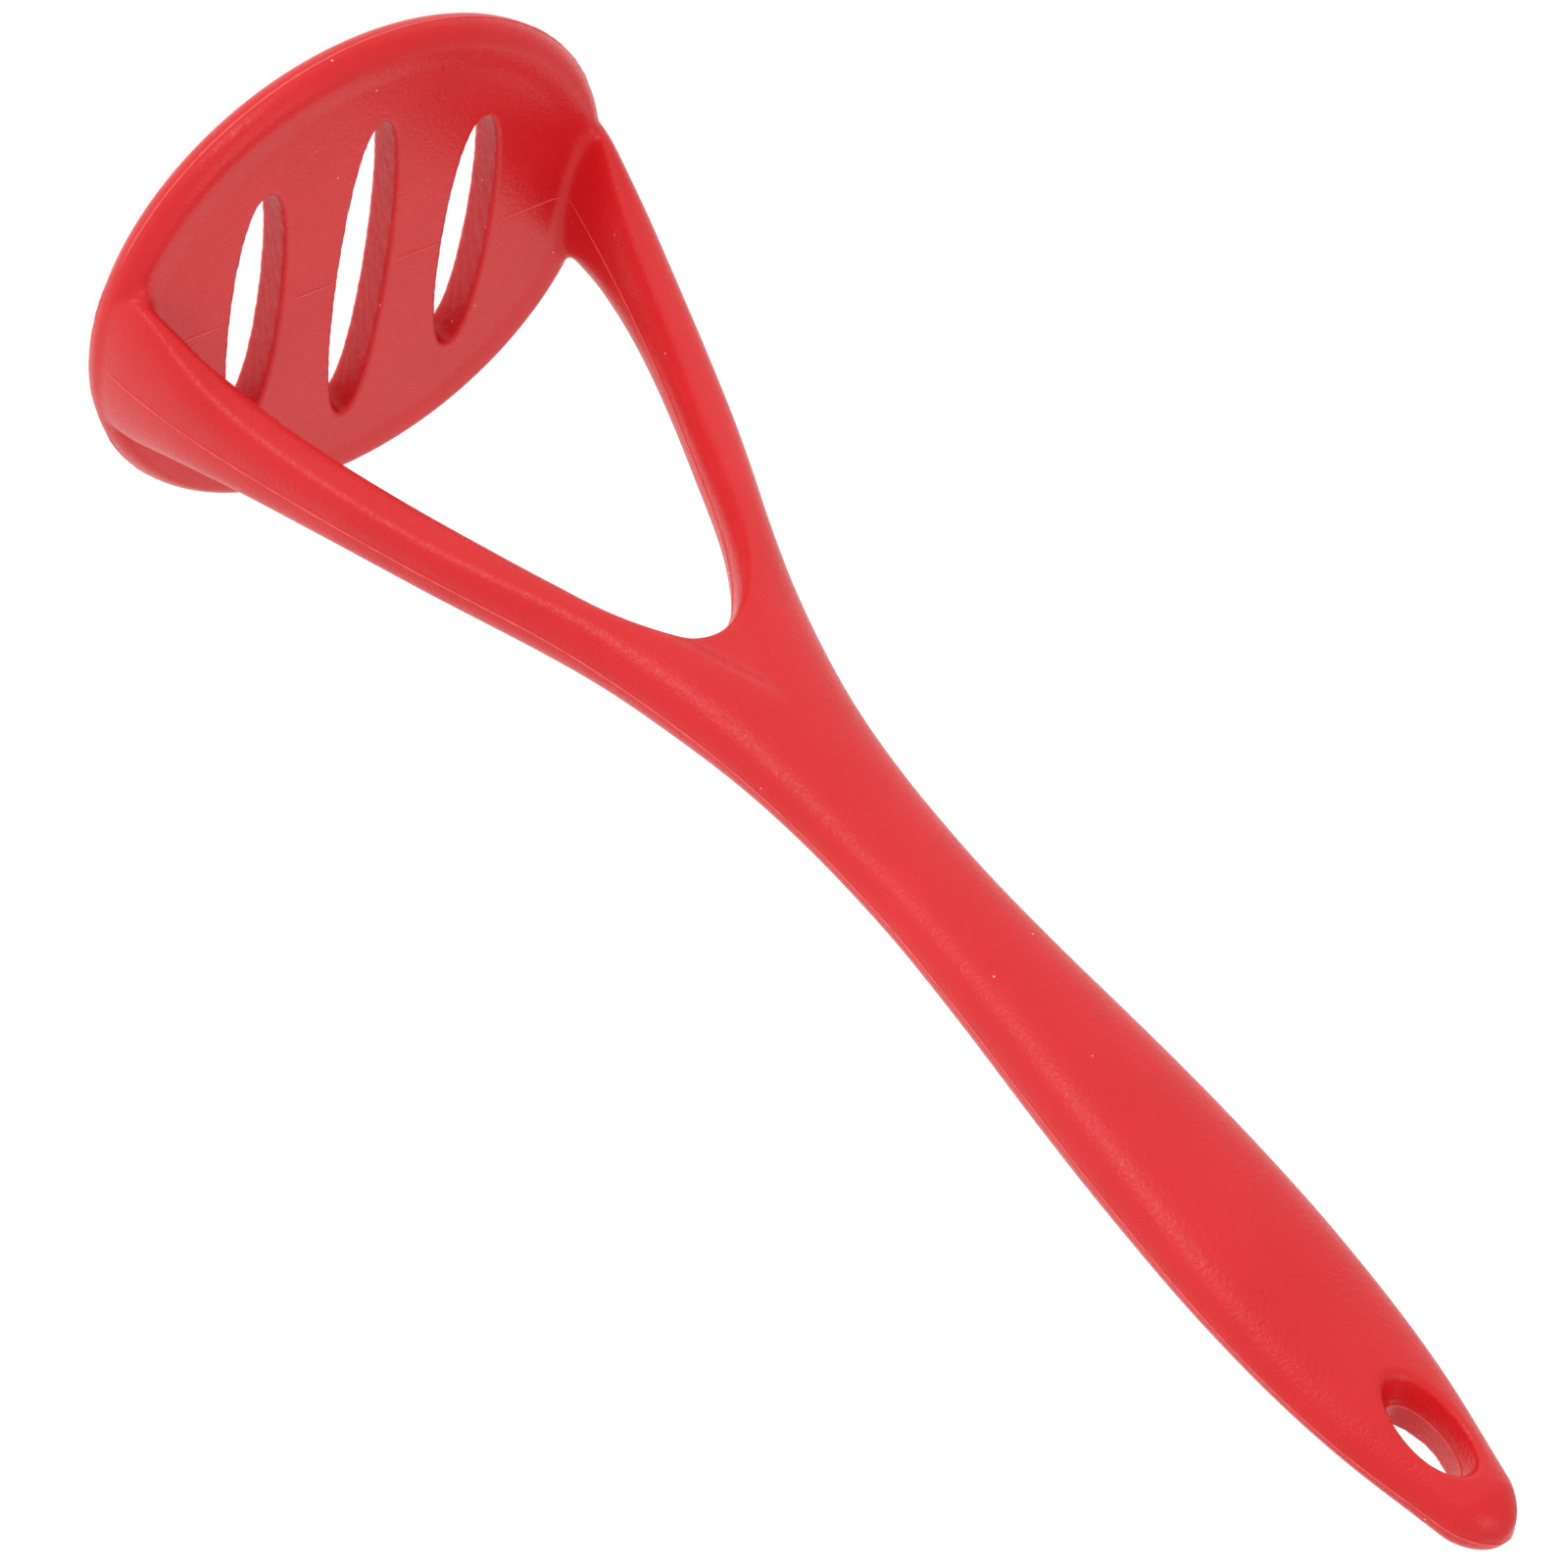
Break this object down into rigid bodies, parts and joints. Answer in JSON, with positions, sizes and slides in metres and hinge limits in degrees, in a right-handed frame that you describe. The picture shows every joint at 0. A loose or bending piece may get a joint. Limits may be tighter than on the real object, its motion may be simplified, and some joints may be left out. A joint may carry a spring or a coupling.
{
  "type": "potato masher",
  "caption": "Silicone-covered potato masher: round slotted head, two arms that join into a long tapered grip with a hanging hole.",
  "frame": {"origin": "centre of the flat sole of the round head, the face the masher stands on", "axes": "+Z from the sole up the grip to the hanging hole; +X and -X along the two arms; -Y the front, +Y the back; the slots run along Y"},
  "size_m": [0.092, 0.092, 0.26],
  "materials": {
    "silicone_skin": "satin red silicone, fine moulded grain",
    "nylon_core": "dull red glass-filled nylon, hidden inside the skin"
  },
  "bodies": {
    "root": {"silicone_skin": "silicone_skin", "nylon_core": "nylon_core"}
  },
  "joints": []
}
